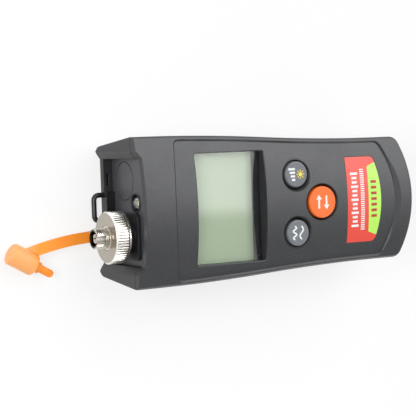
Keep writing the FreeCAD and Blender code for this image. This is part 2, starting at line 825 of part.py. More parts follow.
# ---- Display ----
def display_window():
    grow = lens_ledge - slide_in_gap
    side = window_half_width + grow
    return box(-side, side, window_far_y - grow, window_near_y + grow, lens_bottom_z, lens_top_z)


def glass_box(grow, z0, z1):
    side = window_half_width + glass_ledge + grow
    return box(-side, side, window_far_y - glass_ledge - grow, window_near_y + glass_ledge + grow, z0, z1)


def lcd_glass():
    return glass_box(-slide_in_gap, glass_bottom_z, glass_top_z)


def lcd_frame():
    outer = glass_box(frame_wall, board_top_z, frame_top_z)
    pocket = glass_box(0, board_top_z - over, glass_top_z)
    opening = box(-window_half_width, window_half_width, window_far_y + frame_far_band,
                  window_near_y + frame_near_band, 0, BIG)
    return outer.cut(pocket).cut(opening)


def zebra_strips():
    inset = glass_ledge - glass_gap
    half = window_half_width
    strips = [box(-half, half, y, y + strip_width, board_top_z, glass_bottom_z)
              for y in (window_far_y - inset, window_near_y + inset - strip_width)]
    return Part.makeCompound(strips)


# ---- Board, switches, keys ----
def main_board():
    low = board_top_z - board_thickness
    inset = wall + board_gap + side_taper * (1 - low / part_line_z)
    board = upright(case_plan(inset, low), board_thickness)
    board = board.common(box(-BIG, BIG, board_far_y, board_near_y, low, board_top_z))
    for x, y in case_screw_places:
        board = board.cut(post(x, y, post_radius + post_board_gap, low - over, board_top_z + over))
    return board


def tactile_switches():
    half = switch_size / 2
    bodies = []
    for x, y, _ in key_places.values():
        body = box(x - half, x + half, y - half, y + half, board_top_z, switch_top_z)
        floor = switch_top_z - plunger_engagement - key_travel - plunger_gap
        bodies.append(body.cut(post(x, y, plunger_radius + plunger_gap, floor, switch_top_z + over)))
    return Part.makeCompound(bodies)


def switch_plunger(x, y):
    return post(x, y, plunger_radius, switch_top_z - plunger_engagement, key_base_z)


def key(x, y, radius):
    top = crown_z(x, face_recess) + key_proud
    cap = post(x, y, radius, key_base_z, top)
    edge = [e for e in cap.Edges if e.BoundBox.ZMin > top - tiny]
    cap = cap.makeFillet(key_edge, edge)
    flange = post(x, y, radius + key_flange, key_base_z, key_base_z + key_flange_thickness)
    return cap.fuse(flange).removeSplitter()


# ---- Batteries ----
def battery_door():
    tongue_side = door_half_width + door_tongue
    split_z = door_split_z + door_gap
    skin = box(-door_half_width, door_half_width, -BIG, door_near_y, door_recess, split_z)
    tongues = box(-tongue_side, tongue_side, -BIG, door_near_y, split_z, door_top_z)
    door = skin.fuse(tongues).common(back_form())
    half = door_half_width / 2
    for row in range(door_grip_count):
        y = door_grip_y - row * door_grip_pitch
        door = door.cut(box(-half, half, y, y + door_grip_pitch / 2, 0, door_recess + door_grip_depth))
    return door.removeSplitter()


def cell(x):
    body_end = cell_far_y + cell_length
    body = bar(x, cell_z, cell_radius, cell_far_y, body_end)
    return body.fuse(bar(x, cell_z, cell_nub_radius, body_end, body_end + cell_nub_length)).removeSplitter()


def battery_contacts():
    half = contact_width / 2
    plates = [box(-cell_x - half, cell_x + half, bay_far_y, bay_far_y + contact_thickness,
                  cell_z - half, cell_z + half)]
    for side in (-1, 1):
        x = side * cell_x
        reach = cell_far_y - fit_gap
        leaf = Part.makeCone(half, half / 3, reach - bay_far_y, V(x, bay_far_y, cell_z), V(0, 1, 0))
        plates[0] = plates[0].fuse(leaf)
        plates.append(box(x - half, x + half, bay_near_y - contact_thickness, bay_near_y,
                          cell_z - half, cell_z + half))
    return Part.makeCompound([p.removeSplitter() for p in plates])


# ---- Fasteners and label ----
def case_screws():
    screws = []
    for x, y in case_screw_places:
        head_low = screw_seat_z - screw_head_height
        head = post(x, y, screw_head_radius, head_low, screw_seat_z)
        screw = head.fuse(post(x, y, screw_radius, screw_seat_z - weld, screw_seat_z + screw_length))
        reach = screw_head_radius * cross_reach
        half = cross_slot / 2
        floor_z = head_low + cross_slot
        screw = screw.cut(box(x - reach, x + reach, y - half, y + half, head_low - over, floor_z))
        screw = screw.cut(box(x - half, x + half, y - reach, y + reach, head_low - over, floor_z))
        screws.append(screw.removeSplitter())
    return Part.makeCompound(screws)


def face_label():
    top = crown(face_recess + label_pocket - label_thickness)
    return label_prism(0.0).common(top).cut(crown(face_recess + label_pocket))


def main():
    os.makedirs("parts", exist_ok=True)
    pieces = {
        "rear_case": rear_case(),
        "front_case": front_case(),
        "end_panel": end_panel(),
        "detector_receptacle": detector_receptacle(),
        "flange_screws": flange_screws(),
        "photodiode": photodiode(),
        "adapter_insert": adapter_insert(),
        "ferrule_sleeve": ferrule_sleeve(),
        "coupling_nut": coupling_nut(),
        "dust_plug": dust_plug(),
        "lamp_led": lamp_led(),
        "lamp_holder": lamp_holder(),
        "lanyard_loop": lanyard_loop(),
        "display_window": display_window(),
        "lcd_glass": lcd_glass(),
        "lcd_frame": lcd_frame(),
        "zebra_strips": zebra_strips(),
        "main_board": main_board(),
        "tactile_switches": tactile_switches(),
        "battery_door": battery_door(),
        "battery_left": cell(-cell_x),
        "battery_right": cell(cell_x),
        "battery_contacts": battery_contacts(),
        "case_screws": case_screws(),
        "face_label": face_label(),
    }
    for name, (x, y, radius) in key_places.items():
        pieces[name] = key(x, y, radius)
        pieces[name + "_plunger"] = switch_plunger(x, y)
    for node, shape in pieces.items():
        write(shape, node)


main()
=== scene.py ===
"""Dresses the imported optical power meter: finishes, thread, prints, lamp inside, light, camera."""
import math

import bmesh
import bpy
from mathutils import Matrix, Vector

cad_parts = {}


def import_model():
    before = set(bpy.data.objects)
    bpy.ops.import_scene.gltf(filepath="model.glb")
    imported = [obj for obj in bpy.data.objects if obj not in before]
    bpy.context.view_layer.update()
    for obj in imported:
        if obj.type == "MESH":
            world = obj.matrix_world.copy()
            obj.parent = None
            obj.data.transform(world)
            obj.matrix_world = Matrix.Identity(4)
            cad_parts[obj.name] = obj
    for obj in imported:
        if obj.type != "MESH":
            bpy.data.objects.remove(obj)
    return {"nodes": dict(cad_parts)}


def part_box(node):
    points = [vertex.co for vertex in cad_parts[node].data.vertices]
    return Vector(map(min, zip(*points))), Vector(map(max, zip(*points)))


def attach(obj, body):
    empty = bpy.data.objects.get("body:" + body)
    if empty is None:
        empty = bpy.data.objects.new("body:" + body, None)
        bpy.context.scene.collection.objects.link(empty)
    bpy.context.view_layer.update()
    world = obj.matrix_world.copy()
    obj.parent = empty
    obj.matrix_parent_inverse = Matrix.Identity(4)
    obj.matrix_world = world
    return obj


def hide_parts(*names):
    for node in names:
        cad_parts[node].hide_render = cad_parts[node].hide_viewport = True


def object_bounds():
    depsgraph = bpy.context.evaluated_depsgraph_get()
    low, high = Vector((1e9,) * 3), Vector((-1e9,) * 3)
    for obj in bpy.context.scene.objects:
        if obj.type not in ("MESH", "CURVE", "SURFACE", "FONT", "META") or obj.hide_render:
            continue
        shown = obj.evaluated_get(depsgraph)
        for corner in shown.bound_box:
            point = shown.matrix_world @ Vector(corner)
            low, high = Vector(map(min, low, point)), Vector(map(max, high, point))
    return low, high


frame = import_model()
cad_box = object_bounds()

MM = 0.001
TAU = 2 * math.pi

# ---- Places taken from the frame ----
face_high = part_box("front_case")[1]
label_low, label_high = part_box("face_label")
insert_low, insert_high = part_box("adapter_insert")
nut_low, nut_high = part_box("coupling_nut")
lens_low, lens_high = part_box("lamp_led")
keys = ("unit_key", "wavelength_key", "function_key")

# ---- Sizes that the boxes don't give ----
crown_radius = 95 * MM
print_thickness = 0.06 * MM


def middle(low, high):
    return (low + high) / 2


# ---- Node helpers ----
def new_material(name):
    made = bpy.data.materials.new(name)
    made.use_nodes = True
    return made, made.node_tree, made.node_tree.nodes["Principled BSDF"]


def add(tree, kind, inputs=None, **settings):
    node = tree.nodes.new(kind)
    for key, value in settings.items():
        setattr(node, key, value)
    for key, value in (inputs or {}).items():
        connect(tree, node.inputs[key], value)
    return node


def connect(tree, socket, value):
    """Links another node's output to a socket, or sets the socket to a constant."""
    if isinstance(value, bpy.types.NodeSocket):
        tree.links.new(value, socket)
    else:
        socket.default_value = value


def wire(tree, shader, **sockets):
    for key, value in sockets.items():
        connect(tree, shader.inputs[key.replace("_", " ")], value)


def place(tree):
    """Where a point lies on its own piece, in metres of the frame."""
    return add(tree, "ShaderNodeTexCoord").outputs["Object"]


def coordinates(tree):
    """The X, Y and Z of place, as three outputs."""
    return add(tree, "ShaderNodeSeparateXYZ", {0: place(tree)}).outputs


def noise(tree, size, detail=2.0, roughness=0.5):
    return add(tree, "ShaderNodeTexNoise", {
        "Vector": place(tree), "Scale": 1 / size, "Detail": detail,
        "Roughness": roughness}).outputs["Fac"]


def ramp(tree, value, low, high, to_low=0.0, to_high=1.0):
    return add(tree, "ShaderNodeMapRange", {
        "Value": value, "From Min": low, "From Max": high, "To Min": to_low, "To Max": to_high},
        interpolation_type="SMOOTHSTEP").outputs["Result"]


def maths(tree, operation, first, second=0.0):
    return add(tree, "ShaderNodeMath", {0: first, 1: second}, operation=operation).outputs[0]


def mix(tree, amount, first, second):
    """A colour between two others; 6 and 7 are the colour sockets of the node."""
    return add(tree, "ShaderNodeMix", {0: amount, 6: first, 7: second},
               data_type="RGBA").outputs[2]


def distance(tree, centre, *axes):
    """How far a point lies from centre, measured along two of the axes only."""
    spot = coordinates(tree)
    squares = []
    for axis in axes:
        offset = maths(tree, "SUBTRACT", spot[axis], getattr(centre, axis.lower()))
        squares.append(maths(tree, "MULTIPLY", offset, offset))
    return maths(tree, "SQRT", maths(tree, "ADD", *squares))


def colour(red, green, blue):
    """A colour written as it looks on a screen, from 0 to 255, as linear light."""
    def linear(value):
        share = value / 255
        return share / 12.92 if share <= 0.04045 else ((share + 0.055) / 1.055) ** 2.4
    return (linear(red), linear(green), linear(blue), 1.0)


def mottled(tree, grain, low, high, shade, dark, light=1.0):
    """A shade that varies with the grain, from dark times itself to light times itself."""
    return mix(tree, ramp(tree, grain, low, high),
               colour(*(value * dark for value in shade)),
               colour(*(value * light for value in shade)))


def bump(tree, shader, height, depth, strength, rounding=0.0):
    """Roughens the surface; with rounding, sharp edges catch the light as well."""
    normal = add(tree, "ShaderNodeBump", {
        "Height": height, "Distance": depth, "Strength": strength})
    if rounding:
        edge = add(tree, "ShaderNodeBevel", {"Radius": rounding}, samples=4)
        tree.links.new(edge.outputs["Normal"], normal.inputs["Normal"])
    tree.links.new(normal.outputs["Normal"], shader.inputs["Normal"])


# ---- Finishes ----
def key_well_shade_mask(tree):
    """One inside the wells round the keys, whose black is painted shade, nought elsewhere."""
    well_gap = 0.15 * MM
    inside = []
    for name in keys:
        low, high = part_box(name)
        reach = (high.x - low.x) / 2 + well_gap
        away = distance(tree, middle(low, high), "X", "Y")
        inside.append(maths(tree, "LESS_THAN", away, reach))
    first, second, third = inside
    return maths(tree, "MAXIMUM", maths(tree, "MAXIMUM", first, second), third)


def lamp_cup_mask(tree):
    """One inside the lamp's black cup in the end panel, nought elsewhere."""
    cup_radius = 3.6 * MM
    away = distance(tree, middle(lens_low, lens_high), "X", "Z")
    return maths(tree, "LESS_THAN", away, cup_radius)


def moulded_case(name, shade, black_where=None):
    """Spark-textured grey plastic, faintly worn, and black where the mask says so: painted shade in
    the key wells, the lamp cup's own black at the lamp.
    """
    made, tree, shader = new_material(name)
    fine = noise(tree, 0.5 * MM, roughness=0.6)
    broad = noise(tree, 14 * MM, detail=3.0)
    tint = mottled(tree, fine, 0.42, 0.68, shade, 0.90, 1.13)
    worn = ramp(tree, broad, 0.3, 0.7, 0.36, 0.42)
    if black_where:
        inside = black_where(tree)
        # This black is painted shade in the key wells, and the cup's own colour in the lamp cup.
        tint = mix(tree, inside, tint, colour(9, 9, 10))
        worn = maths(tree, "MAXIMUM", worn, maths(tree, "MULTIPLY", inside, 0.5))
    wire(tree, shader, Base_Color=tint, Roughness=worn, Specular_IOR_Level=0.45)
    bump(tree, shader, fine, 0.06 * MM, 0.5, rounding=0.3 * MM)
    return made


def smooth_plastic(name, shade, roughness):
    made, tree, shader = new_material(name)
    fine = noise(tree, 0.9 * MM)
    wire(tree, shader, Base_Color=mottled(tree, fine, 0.3, 0.7, shade, 0.93, 1.07),
         Roughness=ramp(tree, fine, 0.2, 0.8, roughness * 0.85, roughness * 1.15))
    bump(tree, shader, fine, 0.02 * MM, 0.3, rounding=0.15 * MM)
    return made


def from_port_axis(tree):
    return distance(tree, middle(insert_low, insert_high), "X", "Z")


def painted_mouth_shade(tree, tint):
    """Painted shade: darkens a tube's front rim and its bore."""
    rim_radius, rim_depth = 3.55 * MM, 0.05 * MM
    bore_radius = 3.0 * MM
    reach = from_port_axis(tree)
    along = coordinates(tree)["Y"]
    rim = maths(tree, "MULTIPLY", maths(tree, "LESS_THAN", reach, rim_radius),
                maths(tree, "GREATER_THAN", along, insert_high.y - rim_depth))
    bore = maths(tree, "LESS_THAN", reach, bore_radius)
    # The dark colour is painted shade.
    return mix(tree, maths(tree, "MAXIMUM", rim, bore), tint, colour(74, 68, 60))


def knurled_rim(tree, tint):
    """Paints a highlight on the knurl's crests, and paints shade in its flutes behind the front
    chamfer.
    """
    flute_shade_top, flute_shade_full = 0.12 * MM, 0.38 * MM
    knurl_depth = 0.52 * MM
    chamfer_length = 0.55 * MM
    outer = (nut_high.x - nut_low.x) / 2
    reach = from_port_axis(tree)
    along = coordinates(tree)["Y"]
    # Painted shade in the flutes, darkest towards their floor.
    flute = maths(tree, "MULTIPLY", ramp(tree, reach, outer - flute_shade_top, outer - flute_shade_full),
                  maths(tree, "LESS_THAN", along, nut_high.y - chamfer_length))
    # Painted highlight on the crests, painted shade in the flutes.
    knurl = mix(tree, flute, colour(243, 240, 233), colour(70, 63, 56))
    return mix(tree, maths(tree, "GREATER_THAN", reach, outer - knurl_depth), tint, knurl)


def turning_marks(tree, fine):
    """Fine rings about the port's axis, added to the height of the grain."""
    ring_scale = 4.5 * MM
    centre = middle(insert_low, insert_high)
    shifted = add(tree, "ShaderNodeMapping", {
        "Vector": place(tree), "Location": (-centre.x, -nut_high.y, -centre.z)})
    rings = add(tree, "ShaderNodeTexWave", {
        "Vector": shifted.outputs["Vector"], "Scale": 1 / ring_scale,
        "Distortion": 0.6, "Detail": 1.0}, wave_type="RINGS", rings_direction="Y")
    return maths(tree, "ADD", maths(tree, "MULTIPLY", rings.outputs["Fac"], 0.5), fine)


def plated(name, shade, roughness, turned=False, mouth=False):
    """Bright plated metal: turned is for the knurled nut, with a painted highlight on its crests and
    painted shade in its flutes; mouth is for the adapter's tube, with painted shade on its rim and
    in its bore.
    """
    made, tree, shader = new_material(name)
    fine = noise(tree, 0.5 * MM, detail=4.0, roughness=0.65)
    tint = mottled(tree, fine, 0.3, 0.75, shade, 0.92)
    height = fine
    if mouth:
        tint = painted_mouth_shade(tree, tint)
    if turned:
        tint = knurled_rim(tree, tint)
        height = turning_marks(tree, fine)
    wire(tree, shader, Base_Color=tint, Metallic=1.0,
         Roughness=ramp(tree, fine, 0.25, 0.75, roughness * 0.8, roughness * 1.25))
    bump(tree, shader, height, 0.02 * MM, 0.25, rounding=0.08 * MM)
    return made


def silicone(name, shade):
    """Soft, slightly see-through rubber, with a painted highlight that makes the cap paler."""
    made, tree, shader = new_material(name)
    fine = noise(tree, 0.7 * MM, detail=3.0)
    broad = noise(tree, 9 * MM)
    red, green, blue = shade
    tint = mix(tree, ramp(tree, broad, 0.3, 0.7),
               colour(red, green * 0.94, blue * 0.8), colour(*shade))
    # Painted highlight: towards the cap the colour turns pale peach.
    cap_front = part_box("dust_plug")[1].y
    cap = ramp(tree, coordinates(tree)["Y"], cap_front - 14 * MM, cap_front - 8 * MM)
    tint = mix(tree, cap, tint, colour(255, 176, 108))
    wire(tree, shader, Base_Color=tint, Roughness=ramp(tree, fine, 0.3, 0.7, 0.42, 0.56),
         Subsurface_Weight=0.35, Subsurface_Radius=(1.0, 0.45, 0.15),
         Subsurface_Scale=1.2 * MM)
    bump(tree, shader, fine, 0.03 * MM, 0.3, rounding=0.25 * MM)
    return made


def key_rubber(name, shade):
    made, tree, shader = new_material(name)
    fine = noise(tree, 0.3 * MM, detail=3.0)
    wire(tree, shader, Base_Color=mottled(tree, fine, 0.35, 0.7, shade, 0.95),
         Roughness=ramp(tree, fine, 0.3, 0.7, 0.38, 0.5))
    bump(tree, shader, fine, 0.02 * MM, 0.35, rounding=0.2 * MM)
    return made


def clear(name, tint, index, clearness=1.0, roughness=0.02):
    made, tree, shader = new_material(name)
    fine = noise(tree, 3 * MM)
    wire(tree, shader, Base_Color=tint, Transmission_Weight=clearness, IOR=index,
         Roughness=ramp(tree, fine, 0.3, 0.7, roughness, roughness * 1.6))
    return made


def lcd_panel():
    """Grey-green display glass with a faint grain, a painted reflection that makes it paler to the
    right, and a painted shadow along its far edge.
    """
    painted_reflection_from, painted_reflection_full = -5.5 * MM, 1.5 * MM
    painted_shadow_from, painted_shadow_full = 8.0 * MM, 2.4 * MM
    made, tree, shader = new_material("lcd_panel")
    low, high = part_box("lcd_glass")
    centre = middle(low, high)
    spot = coordinates(tree)
    grain = noise(tree, 0.25 * MM, detail=1.0)
    # Painted reflection: the field turns paler towards +X.
    painted_reflection = ramp(tree, spot["X"], centre.x + painted_reflection_from, centre.x + painted_reflection_full)
    field = mix(tree, painted_reflection, colour(160, 180, 147), colour(188, 204, 180))
    field = mix(tree, maths(tree, "MULTIPLY", grain, 0.08), field, colour(120, 142, 112))
    # Painted shadow: the field darkens towards its far edge, where the window's wall would shade it.
    shade = ramp(tree, spot["Y"], low.y + painted_shadow_from, low.y + painted_shadow_full)
    field = mix(tree, maths(tree, "MULTIPLY", shade, 0.62), field, colour(60, 70, 56))
    wire(tree, shader, Base_Color=field, Roughness=0.32, Specular_IOR_Level=0.25)
    bump(tree, shader, grain, 0.001 * MM, 0.1)
    return made


def label_film():
    """Glossy printed film: a red field with a lime panel along its far edge."""
    lime_length = 6.2 * MM
    lime_half_width = 13.2 * MM
    lime_spread = 0.38
    made, tree, shader = new_material("label_film")
    spot = coordinates(tree)
    side = maths(tree, "ABSOLUTE", spot["X"])
    depth = maths(tree, "SUBTRACT", label_low.y + lime_length, spot["Y"])
    limit = maths(tree, "ADD", maths(tree, "MULTIPLY", depth, lime_spread), lime_half_width)
    inside = maths(tree, "MULTIPLY", maths(tree, "GREATER_THAN", depth, 0.0),
                   maths(tree, "LESS_THAN", side, limit))
    fine = noise(tree, 0.6 * MM, detail=3.0)
    red = mix(tree, fine, colour(222, 68, 52), colour(230, 80, 64))
    lime = mix(tree, fine, colour(176, 232, 88), colour(188, 240, 104))
    wire(tree, shader, Base_Color=mix(tree, inside, red, lime), Roughness=0.34)
    bump(tree, shader, fine, 0.01 * MM, 0.3)
    return made


def ink(name, shade):
    made, tree, shader = new_material(name)
    fine = noise(tree, 0.35 * MM)
    wire(tree, shader, Base_Color=mottled(tree, fine, 0.3, 0.6, shade, 0.93), Roughness=0.5)
    bump(tree, shader, fine, 0.008 * MM, 0.3)
    return made


def battery_wrap():
    """Shrink sleeve in two bands, with bright steel ends."""
    band_share = 0.3
    top_cap, bottom_cap = 1.6 * MM, 0.6 * MM
    made, tree, shader = new_material("battery_wrap")
    low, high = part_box("battery_left")
    along = coordinates(tree)["Y"]
    length = high.y - low.y
    fine = noise(tree, 1.2 * MM)
    band = maths(tree, "GREATER_THAN", along, high.y - band_share * length)
    jacket = mix(tree, band, colour(38, 44, 58), colour(196, 150, 62))
    jacket = mix(tree, maths(tree, "MULTIPLY", fine, 0.12), jacket, colour(90, 90, 96))
    ends = maths(tree, "MAXIMUM", maths(tree, "GREATER_THAN", along, high.y - top_cap),
                 maths(tree, "LESS_THAN", along, low.y + bottom_cap))
    wire(tree, shader, Base_Color=mix(tree, ends, jacket, colour(200, 200, 204)),
         Metallic=ends, Roughness=ramp(tree, fine, 0.2, 0.8, 0.22, 0.34))
    bump(tree, shader, fine, 0.02 * MM, 0.2)
    return made


def circuit_board():
    """Green solder mask over a plain grid of tracks."""
    grid = 2.4 * MM
    made, tree, shader = new_material("circuit_board")
    lines = add(tree, "ShaderNodeTexBrick", {
        "Vector": place(tree), "Scale": 1 / grid, "Mortar Size": 0.06,
        "Color1": colour(22, 86, 48), "Color2": colour(26, 94, 54),
        "Mortar": colour(58, 132, 70)})
    wire(tree, shader, Base_Color=lines.outputs["Color"], Roughness=0.35)
    bump(tree, shader, lines.outputs["Fac"], 0.03 * MM, 0.4)
    return made


def dress(finishes):
    for finish, names in finishes:
        for name in names:
            mesh = frame["nodes"][name].data
            mesh.materials.clear()
            mesh.materials.append(finish)


# ---- Mesh helpers ----
def piece(name, mesh, finish, body):
    made = bpy.data.objects.new(name, mesh)
    bpy.context.scene.collection.objects.link(made)
    mesh.materials.clear()
    mesh.materials.append(finish)
    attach(made, body)
    return made


def mesh_from(name, work):
    bmesh.ops.recalc_face_normals(work, faces=work.faces)
    mesh = bpy.data.meshes.new(name)
    work.to_mesh(mesh)
    work.free()
    return mesh


def lathe(name, profile, centre, axis, steps):
    """A closed solid turned from (radius, distance along the axis) points."""
    work = bmesh.new()
    turn = Vector((0, 0, 1)).rotation_difference(axis).to_matrix()
    rings = []
    for radius, along in profile:
        ring = []
        for step in range(steps):
            angle = TAU * step / steps
            spot = Vector((radius * math.cos(angle), radius * math.sin(angle), along))
            ring.append(work.verts.new(centre + turn @ spot))
        rings.append(ring)
    for first, second in zip(rings, rings[1:] + rings[:1]):
        for step in range(steps):
            after = (step + 1) % steps
            work.faces.new((first[step], first[after], second[after], second[step]))
    return mesh_from(name, work)


def print_plate(work, outline, height_at):
    """Adds one printed shape, a thin closed plate that lies on the surface height_at gives."""
    half = print_thickness / 2
    top = [work.verts.new((x, y, height_at(x) + half)) for x, y in outline]
    low = [work.verts.new((x, y, height_at(x) - half)) for x, y in outline]
    work.faces.new(top)
    work.faces.new(low[::-1])
    for index in range(len(outline)):
        after = (index + 1) % len(outline)
        work.faces.new((low[index], low[after], top[after], top[index]))


def ribbon(points, width):
    """The outline of a line of even width drawn through points."""
    left, right = [], []
    for index, here in enumerate(points):
        before = points[max(index - 1, 0)]
        after = points[min(index + 1, len(points) - 1)]
        heading = Vector((after[0] - before[0], after[1] - before[1])).normalized()
        side = Vector((-heading.y, heading.x)) * width / 2
        left.append((here[0] + side.x, here[1] + side.y))
        right.append((here[0] - side.x, here[1] - side.y))
    return left + right[::-1]


def block(x, y, width, height):
    return [(x - width / 2, y - height / 2), (x + width / 2, y - height / 2),
            (x + width / 2, y + height / 2), (x - width / 2, y + height / 2)]


def ring_point(x, y, radius, angle):
    return x + radius * math.cos(angle), y + radius * math.sin(angle)


def disc(x, y, radius, steps=24):
    return [ring_point(x, y, radius, TAU * step / steps) for step in range(steps)]


# ---- Pieces that only the scene holds ----
def thread_cutter(centre, start, end):
    """A three-sided thread of M8 x 0.75, a little longer than the tube from start to end."""
    radius, pitch, depth = 4.0 * MM, 0.75 * MM, 0.42 * MM
    outside = radius + depth / 2
    half_mouth = 0.46 * pitch
    run_out = 1.5
    steps = 48
    turns = (end - start) / pitch + run_out
    work = bmesh.new()
    rings = []
    for step in range(int(turns * steps) + 1):
        angle = TAU * step / steps
        along = start + pitch * step / steps
        out = Vector((math.cos(angle), 0, math.sin(angle)))
        ring = []
        for reach, shift in ((radius - depth, 0.0), (outside, half_mouth), (outside, -half_mouth)):
            spot = Vector((centre.x, along + shift, centre.z)) + out * reach
            ring.append(work.verts.new(spot))
        rings.append(ring)
    for first, second in zip(rings, rings[1:]):
        for corner in range(3):
            after = (corner + 1) % 3
            work.faces.new((first[corner], first[after], second[after], second[corner]))
    work.faces.new(rings[0])
    work.faces.new(rings[-1][::-1])
    cutter = bpy.data.objects.new("thread_tool", mesh_from("thread_tool", work))
    bpy.context.scene.collection.objects.link(cutter)
    return cutter


def threaded_insert(finish):
    """The FC insert with its thread cut into the tube."""
    lead_in = 0.9 * MM
    weld = 1e-6
    cutter = thread_cutter(middle(insert_low, insert_high), nut_high.y + lead_in, insert_high.y)
    mesh = frame["nodes"]["adapter_insert"].data.copy()
    made = piece("threaded_insert", mesh, finish, "adapter")
    work = bmesh.new()
    work.from_mesh(mesh)
    bmesh.ops.remove_doubles(work, verts=work.verts, dist=weld)
    work.to_mesh(mesh)
    work.free()
    cut = made.modifiers.new("thread", "BOOLEAN")
    cut.operation = "DIFFERENCE"
    cut.solver = "EXACT"
    cut.object = cutter
    bpy.context.view_layer.update()
    shown = made.evaluated_get(bpy.context.evaluated_depsgraph_get())
    result = bpy.data.meshes.new_from_object(shown)
    made.modifiers.clear()
    made.data = result
    bpy.data.objects.remove(cutter)
    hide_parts("adapter_insert")


def lamp_inside(silver, glow):
    """The die cup and phosphor that show through the lamp's clear lens.

    Each profile gives a radius and a place behind the lens's tip, in millimetres."""
    cup = [(0.30, -3.4), (1.15, -3.2), (1.75, -1.7), (1.55, -1.7), (0.8, -2.9), (0.30, -3.0)]
    phosphor = [(0.05, -2.95), (0.75, -2.85), (0.7, -2.3), (0.05, -2.05)]
    centre = middle(lens_low, lens_high)
    tip = Vector((centre.x, lens_high.y, centre.z))
    axis = Vector((0, 1, 0))
    for name, profile, steps, finish, slot in (
            ("lamp_cup", cup, 64, silver, "steel"),
            ("lamp_phosphor", phosphor, 32, glow, "ceramic_white")):
        points = [(radius * MM, along * MM) for radius, along in profile]
        piece(name, lathe(name, points, tip, axis, steps), finish, "housing")


def label_height(x):
    """The label's surface, which follows the crowned face."""
    below_face = face_high.z - label_high.z
    axis_height = face_high.z - crown_radius
    return axis_height + math.sqrt((crown_radius - below_face) ** 2 - x * x)


def bar_row(work, y, count, pitch, width, heights):
    """Adds a row of bars across the label, sized in millimetres, with heights taken in turn."""
    for step in range(count):
        x = (step - (count - 1) / 2) * pitch * MM
        tall = heights[step % len(heights)] * MM
        print_plate(work, block(x, y, width * MM, tall), label_height)


def label_marks(white, maroon):
    """Plain graduated bars where such a label has its print."""
    scale = bmesh.new()
    bar_row(scale, label_high.y - 3.6 * MM, 13, 1.75, 0.95, (3.5, 2.4, 2.4))
    bar_row(scale, label_high.y - 7.4 * MM, 29, 0.86, 0.46, (1.9,))
    piece("label_scale", mesh_from("label_scale", scale), white, "housing")
    ticks = bmesh.new()
    bar_row(ticks, label_low.y + 3.6 * MM, 7, 2.3, 1.1, (2.7,))
    piece("label_ticks", mesh_from("label_ticks", ticks), maroon, "housing")


def key_symbol(key, suffix, shapes, finish):
    """Prints outlines, in millimetres from the key's middle, on the key's top."""
    low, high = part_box(key)
    centre = middle(low, high)
    work = bmesh.new()
    for outline in shapes:
        print_plate(work, [(centre.x + u * MM, centre.y + v * MM) for u, v in outline],
                    lambda _: high.z)
    name = key + suffix
    piece(name, mesh_from(name, work), finish, key + "_body")


def wave(y, cycles):
    span, height, width = 5.2, 0.8, 0.62
    steps = 24
    line = [(-span / 2 + span * step / steps,
             y + height * math.sin(TAU * cycles * step / steps)) for step in range(steps + 1)]
    return ribbon(line, width)


def arrow(y, heading):
    """An arrow along +X or -X, as its heading of 1 or -1 says; the two parts don't overlap."""
    tail, line_end, head_start, tip = -2.5, 1.1, 1.15, 2.9
    line_width, half_head = 0.8, 1.35
    line = ribbon([(tail * heading, y), (line_end * heading, y)], line_width)
    head = [(head_start * heading, y - half_head), (tip * heading, y),
            (head_start * heading, y + half_head)]
    return [line, head if heading > 0 else head[::-1]]


def lit_lamp(y):
    """A small light with eight rays."""
    rays = 8
    bulb_radius, ray_start, ray_end, ray_width = 0.8, 1.1, 1.75, 0.42
    shapes = [disc(0, y, bulb_radius)]
    for step in range(rays):
        angle = TAU * step / rays
        shapes.append(ribbon([ring_point(0, y, ray_start, angle),
                              ring_point(0, y, ray_end, angle)], ray_width))
    return shapes


def rising_bars(y):
    """Four bars, each taller than the last, that stand on one line."""
    return [block(-2.1 + 1.4 * step, y + 0.25 * step, 0.85, 1.5 + 0.5 * step)
            for step in range(4)]


def key_symbols(white, yellow):
    key_symbol("unit_key", "_bars", rising_bars(1.45), white)
    key_symbol("unit_key", "_light", lit_lamp(-1.75), yellow)
    key_symbol("wavelength_key", "_waves", [wave(1.55, 2), wave(-1.55, 1)], white)
    key_symbol("function_key", "_arrows", arrow(1.75, 1) + arrow(-1.75, -1), white)


# ---- Floor, light and camera ----
def seen_directly(tree):
    """One for rays that show the surroundings: from the camera, in gloss and through glass."""
    path = add(tree, "ShaderNodeLightPath").outputs
    shown = maths(tree, "MAXIMUM", path["Is Camera Ray"], path["Is Glossy Ray"])
    return maths(tree, "MAXIMUM", shown, path["Is Transmission Ray"])


def floor():
    """A matt white floor that glows a little where it is seen, to match the surroundings."""
    size = 6.0
    glow_share = 0.74
    mesh = bpy.data.meshes.new("floor")
    corners = [(-size, -size, 0), (size, -size, 0), (size, size, 0), (-size, size, 0)]
    mesh.from_pydata(corners, [], [(0, 1, 2, 3)])
    made = bpy.data.objects.new("floor", mesh)
    made.location.z = cad_box[0].z
    bpy.context.scene.collection.objects.link(made)
    finish, tree, shader = new_material("floor")
    wire(tree, shader, Base_Color=colour(246, 246, 246), Roughness=0.9, Specular_IOR_Level=0.0)
    glow = add(tree, "ShaderNodeEmission", {"Color": (1, 1, 1, 1), "Strength": 1.0})
    share = maths(tree, "MULTIPLY", seen_directly(tree), glow_share)
    both = add(tree, "ShaderNodeMixShader", {0: share, 1: shader.outputs[0], 2: glow.outputs[0]})
    tree.links.new(both.outputs[0], tree.nodes["Material Output"].inputs["Surface"])
    mesh.materials.append(finish)


